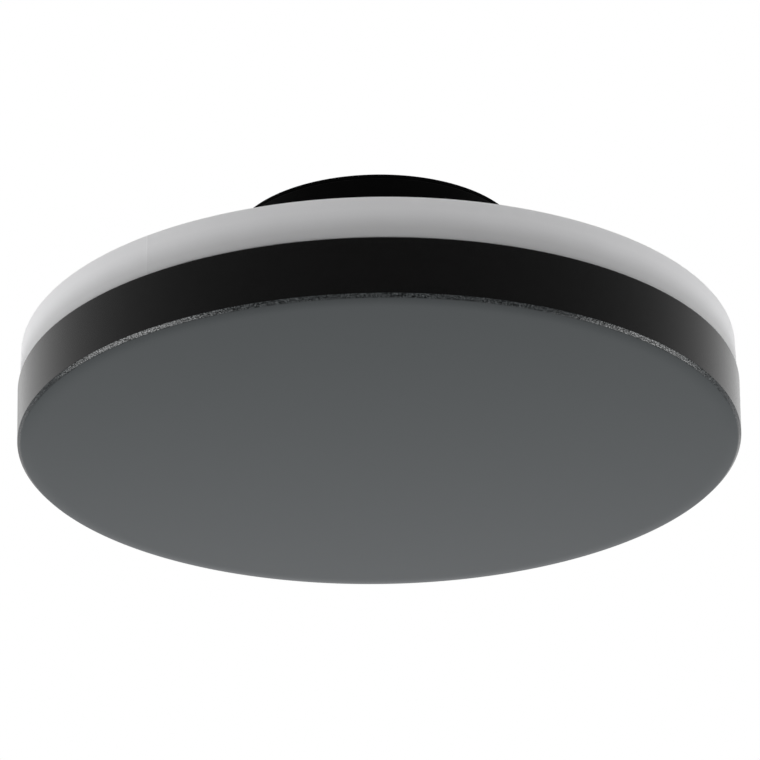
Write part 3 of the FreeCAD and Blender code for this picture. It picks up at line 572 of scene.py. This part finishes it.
BOSS_CIRCLE, BOSS_COUNT, BOSS_STEPS = 66, 6, 32
BOSS_RADIUS, BOSS_BORE, BOSS_ROUND = 4.5, 2.1, 0.3
BOSS_ROOT = 1
BORE_DEPTH = 6.3
boss_outline = softened([
    (0, tray_z - BOSS_ROOT, 0),
    (BOSS_RADIUS, tray_z - BOSS_ROOT, 0),
    (BOSS_RADIUS, CARRIER_UNDER_Z, BOSS_ROUND),
    (BOSS_BORE, CARRIER_UNDER_Z, 0),
    (BOSS_BORE, CARRIER_UNDER_Z - BORE_DEPTH, 0),
    (0, CARRIER_UNDER_Z - BORE_DEPTH, 0),
])
cover_mesh = bmesh.new()
turned(cover_mesh, cover_outline, even(RING_STEPS), skin_of=cover_skin)
for angle in even(BOSS_COUNT):
    centre = (BOSS_CIRCLE * math.cos(angle), BOSS_CIRCLE * math.sin(angle))
    turned(cover_mesh, boss_outline, even(BOSS_STEPS), centre)
cover = finished(cover_mesh, "front_cover_turned", [COAT, EDGE])
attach(cover, "lamp")
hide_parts("front_cover")

# Diffuser, with the parting line as a low ridge: the turn from its middle and the height there
DIFFUSER_WALL = 2.5
DIFFUSER_HOLE = 40.4
DIFFUSER_ROUND = 0.3
INNER_ROUND = 0.6
STEP_GAP, STEP_FOOT_ROUND, STEP_EDGE_ROUND = 0.3, 0.2, 0.15
LIP_ROOT, LIP_WALL, LIP_CLEARANCE = 2.8, 2.2, 0.4
SEAM_HEIGHTS = {-SEAM_HALF: 0, 0: 0.05, SEAM_HALF: 0}
SEAM_REACH = 0.005
lip_radius = cover_bore - LIP_CLEARANCE
lip_bore = lip_radius - LIP_WALL
diffuser_bore = DIFFUSER_RADIUS - DIFFUSER_WALL
diffuser_outline = softened([
    (DIFFUSER_HOLE, BACK_Z - DIFFUSER_WALL, DIFFUSER_ROUND),
    (diffuser_bore, BACK_Z - DIFFUSER_WALL, INNER_ROUND),
    (diffuser_bore, RIM_Z + LIP_ROOT, DIFFUSER_ROUND),
    (lip_bore, RIM_Z + LIP_ROOT, DIFFUSER_ROUND),
    (lip_bore, LIP_Z, DIFFUSER_ROUND),
    (lip_radius, LIP_Z, DIFFUSER_ROUND),
    (lip_radius, RIM_Z + STEP_GAP, STEP_FOOT_ROUND),
    (DIFFUSER_RADIUS, RIM_Z + STEP_GAP, STEP_EDGE_ROUND),
    (DIFFUSER_RADIUS, BACK_Z, DIFFUSER_ROUND),
    (DIFFUSER_HOLE, BACK_Z, DIFFUSER_ROUND),
])
seam_angles = {SEAM_ANGLE + turn: height for turn, height in SEAM_HEIGHTS.items()}
clear_of_seam = [angle for angle in even(RING_STEPS) if abs(angle - SEAM_ANGLE) > SEAM_REACH]


def seam(point, angle):
    return seam_angles.get(angle, 0) if point.x > DIFFUSER_RADIUS - DIFFUSER_ROUND else 0


diffuser_mesh = bmesh.new()
turned(diffuser_mesh, diffuser_outline, sorted([*clear_of_seam, *seam_angles]), swell=seam)
diffuser = finished(diffuser_mesh, "diffuser_turned", [OPAL])
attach(diffuser, "lamp")
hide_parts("diffuser")


# Other pieces in sight: each node's own shape with its outer edges rounded, by so many millimetres
EASED = {
    "canopy": 0.4,
    "canopy_gasket": 0.3,
    "mounting_plate": 0.4,
    "cable_grommet": 0.6,
    "lead_grommet": 0.3,
    "driver_case": 0.5,
    "driver_lid": 0.5,
    "terminal_block": 0.3,
    "terminal_button_live": 0.3,
    "terminal_button_neutral": 0.3,
    "terminal_button_earth": 0.3,
    "board_connector": 0.3,
    "set_screws": 0.15,
    "plate_earth_screw": 0.2,
    "earth_screw": 0.2,
    "terminal_screws": 0.2,
    "driver_screws": 0.2,
    "canopy_screws": 0.2,
    "earth_tag": 0.15,
}
EASED_STEPS = 3
FLAT = math.radians(0.5)
SAME_POINT = 1e-7
BODY_OF = {node: body for body, members in frame["record"]["behaviour"]["bodies"].items() for node in members}
for node, width in EASED.items():
    mesh = bmesh.new()
    mesh.from_mesh(NODES[node].data)
    bmesh.ops.remove_doubles(mesh, verts=mesh.verts, dist=SAME_POINT)
    bmesh.ops.dissolve_limit(mesh, angle_limit=FLAT, verts=mesh.verts, edges=mesh.edges)
    for face in mesh.faces:
        face.smooth = True
    outer = [edge for edge in mesh.edges if edge.is_convex and edge.calc_face_angle() > SHARP]
    rounds = set(bmesh.ops.bevel(
        mesh, geom=outer, offset=width * MM, offset_type="OFFSET", segments=EASED_STEPS, profile=0.5,
        affect="EDGES",
    )["faces"])
    for edge in mesh.edges:
        edge.smooth = len({face in rounds for face in edge.link_faces}) == 1
    piece = finished(mesh, node + "_eased", [DRESS[node]])
    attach(piece, BODY_OF[node])
    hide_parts(node)


# Studio: white where the camera looks, soft light, and a dim room behind the camera

SCENE = bpy.context.scene
SCENE.view_settings.view_transform = "Standard"
WHITE = (1.0, 1.0, 1.0, 1.0)

# Greys of the room from behind the camera to the backdrop, as light on a surface and as its mirror image
LIGHT = [(0.0, 0.09), (0.275, 0.16), (0.5, 0.48), (0.72, 1.0)]
MIRRORED = [
    (0.0, 0.063), (0.2, 0.129), (0.35, 0.198), (0.5, 0.315), (0.6, 0.448), (0.7, 0.591), (0.78, 0.78),
    (0.84, 0.906), (0.9, 0.967), (0.935, 1.05), (0.96, 0.62),
]
BACKDROP = (-0.0913, 0.9958, 0.0)
CEILING_FROM, CEILING_TO = 0.45, 0.9
world = bpy.data.worlds.new("studio")
world.use_nodes = True
SCENE.world = world
room = world.node_tree
direction = room.nodes.new("ShaderNodeTexCoord").outputs["Generated"]
split = room.nodes.new("ShaderNodeSeparateXYZ")
room.links.new(direction, split.inputs["Vector"])
towards = room.nodes.new("ShaderNodeVectorMath")
towards.operation = "DOT_PRODUCT"
towards.inputs[1].default_value = BACKDROP
room.links.new(direction, towards.inputs[0])
across = share(room, towards.outputs["Value"], -1, 1)
ceiling = share(room, split.outputs["Z"], CEILING_FROM, CEILING_TO, "SMOOTHSTEP")
sides = [mixed(room, ceiling, ramp(room, across, greys), WHITE) for greys in (LIGHT, MIRRORED)]
direct, glossy = ray_kinds(room)
seen = mixed(room, direct, mixed(room, glossy, *sides), WHITE)
room.links.new(seen, room.nodes["Background"].inputs["Color"])

# Pale floor, lifted to white for the camera. Its mirror image grows lighter towards the backdrop: the distance
# and the light of the near and far ends
FLOOR_Z = -1.2
FLOOR_HALF = 30.0
FLOOR_LIFT = 0.4
FLOOR_NEAR, MIRRORED_NEAR = 2.15, (0.0, 0.06, 0.085, 1.0)
FLOOR_FAR, MIRRORED_FAR = 3.4, (0.232, 0.264, 0.291, 1.0)
floor_skin = Surface("pale_floor", Base_Color=(0.86, 0.86, 0.86, 1), Roughness=0.9, Specular_IOR_Level=0.1)
direct, glossy = ray_kinds(floor_skin.tree)
distance = floor_skin.share("Y", FLOOR_NEAR, FLOOR_FAR)
mirrored = mixed(floor_skin.tree, distance, MIRRORED_NEAR, MIRRORED_FAR)
glow = mixed(floor_skin.tree, glossy, WHITE, mirrored)
floor_skin.join(glow, floor_skin.shader.inputs["Emission Color"])
strength = floor_skin.reckon("MULTIPLY_ADD", direct, FLOOR_LIFT, glossy)
floor_skin.join(strength, floor_skin.shader.inputs["Emission Strength"])
floor_mesh = bmesh.new()
bmesh.ops.create_grid(
    floor_mesh, x_segments=1, y_segments=1, size=FLOOR_HALF, matrix=Matrix.Translation((0, 0, FLOOR_Z)),
)
floor = finished(floor_mesh, "floor", [floor_skin.material])

# Softboxes: the direction from the lamp and the side of each
SOFTBOXES = [((-0.72, 0.05, -0.69), 0.8), ((0.75, 0.17, -0.64), 0.68)]
SOFTBOX_REACH = 1.3
SOFTBOX_POWER = 10.0
TARGET = Vector((0, 0, -0.07))
for direction, side in SOFTBOXES:
    softbox = bpy.data.lights.new("softbox", "AREA")
    softbox.size = side
    softbox.energy = SOFTBOX_POWER * side ** 2
    stand = bpy.data.objects.new("softbox", softbox)
    stand.location = TARGET + Vector(direction) * SOFTBOX_REACH
    stand.rotation_euler = (TARGET - stand.location).to_track_quat("-Z", "Y").to_euler()
    stand.visible_camera = False
    SCENE.collection.objects.link(stand)

# Camera at the photograph's viewing angle: below the lamp, looking up at its face
FOCAL_PIXELS = 3000.0
FRAME_PIXELS = 760.0
SENSOR = 36.0
TILT = math.radians(65.17)
ROLL = math.radians(-0.772)
FACE_PIXEL = (379.55, 457.07)
FACE_DEPTH = 1.0828
FACE_CENTRE = Vector((0, 0, FACE_Z * MM))
roll = Matrix.Rotation(ROLL, 3, "Z")
lamp_x = roll @ Vector((1, 0, 0))
lamp_z = roll @ Vector((0, -math.sin(TILT), math.cos(TILT)))
to_world = Matrix((lamp_x, lamp_z.cross(lamp_x), lamp_z))
right, up, back = [to_world @ Vector(axis) for axis in ((1, 0, 0), (0, -1, 0), (0, 0, -1))]
sideways, down = [(pixel - FRAME_PIXELS / 2) / FOCAL_PIXELS for pixel in FACE_PIXEL]
eye = FACE_CENTRE - to_world @ (Vector((sideways, down, 1)) * FACE_DEPTH)
lens = bpy.data.cameras.new("camera")
lens.sensor_width = SENSOR
lens.lens = FOCAL_PIXELS / FRAME_PIXELS * SENSOR
camera = bpy.data.objects.new("camera", lens)
camera.matrix_world = Matrix.Translation(eye) @ Matrix((right, up, back)).transposed().to_4x4()
SCENE.collection.objects.link(camera)
SCENE.camera = camera
